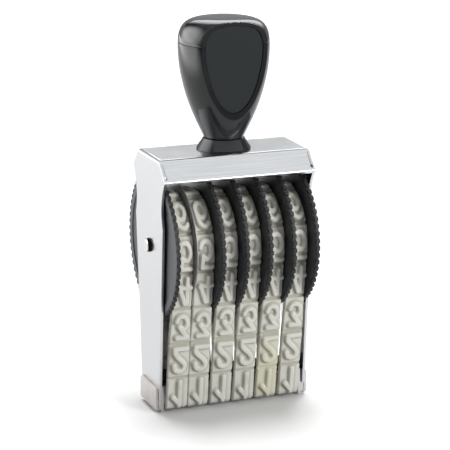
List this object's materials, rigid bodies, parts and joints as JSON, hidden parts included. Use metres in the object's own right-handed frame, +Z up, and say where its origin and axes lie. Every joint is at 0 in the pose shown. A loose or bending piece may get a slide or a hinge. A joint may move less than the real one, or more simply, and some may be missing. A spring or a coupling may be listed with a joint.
{
  "type": "numbering stamp",
  "caption": "Hand numbering stamp: rubber bands of raised mirrored digits run round a foot and are set by serrated thumbwheels in a folded steel frame with an egg-shaped handle.",
  "frame": {"origin": "on the paper under the middle of the foot, where the printing digits rest", "axes": "+Z up along the handle, front towards -Y, +X along the axle to the right as seen from the front"},
  "size_m": [0.0588, 0.052, 0.1391],
  "materials": {
    "chromed_sheet": "satin chrome on folded steel",
    "nickel_sheet": "dull nickel on folded steel",
    "block_plastic": "matt black",
    "turned_steel": "turned and plated",
    "thin_steel": "dull rolled sheet",
    "band_rubber": "matt, pale grey cream",
    "band_rubber_warm": "matt, slightly yellowed",
    "wheel_plastic": "satin charcoal",
    "grip_plastic": "satin charcoal",
    "cap_plastic": "polished charcoal",
    "plate_plastic": "fine matt, left bare"
  },
  "bodies": {
    "stamp": {"housing": "chromed_sheet", "foot_tray": "nickel_sheet", "guide_block": "block_plastic", "axle": "turned_steel", "spring_washer": "turned_steel", "separator_disc": "thin_steel", "number_band_1": "band_rubber", "number_band_2": "band_rubber", "number_band_3": "band_rubber", "number_band_4": "band_rubber", "number_band_5": "band_rubber_warm", "number_band_6": "band_rubber", "collar": "grip_plastic", "handle_body": "grip_plastic", "handle_cap": "cap_plastic", "label_plate_front": "plate_plastic", "label_plate_rear": "plate_plastic", "handle_screw": "turned_steel", "screw_washer": "turned_steel"},
    "wheel_1": {"thumbwheel_1": "wheel_plastic"},
    "wheel_2": {"thumbwheel_2": "wheel_plastic"},
    "wheel_3": {"thumbwheel_3": "wheel_plastic"},
    "wheel_4": {"thumbwheel_4": "wheel_plastic"},
    "wheel_5": {"thumbwheel_5": "wheel_plastic"},
    "wheel_6": {"thumbwheel_6": "wheel_plastic"}
  },
  "joints": [
    {"name": "wheel_1_spin", "type": "hinge", "parent": "stamp", "child": "wheel_1", "pos_m": [-0.0217, 0, 0.06], "axis": [1, 0, 0], "continuous": true},
    {"name": "wheel_2_spin", "type": "hinge", "parent": "stamp", "child": "wheel_2", "pos_m": [-0.0139, 0, 0.06], "axis": [1, 0, 0], "continuous": true},
    {"name": "wheel_3_spin", "type": "hinge", "parent": "stamp", "child": "wheel_3", "pos_m": [-0.00516, 0, 0.06], "axis": [1, 0, 0], "continuous": true},
    {"name": "wheel_4_spin", "type": "hinge", "parent": "stamp", "child": "wheel_4", "pos_m": [0.00358, 0, 0.06], "axis": [1, 0, 0], "continuous": true},
    {"name": "wheel_5_spin", "type": "hinge", "parent": "stamp", "child": "wheel_5", "pos_m": [0.01232, 0, 0.06], "axis": [1, 0, 0], "continuous": true},
    {"name": "wheel_6_spin", "type": "hinge", "parent": "stamp", "child": "wheel_6", "pos_m": [0.02106, 0, 0.06], "axis": [1, 0, 0], "continuous": true}
  ]
}
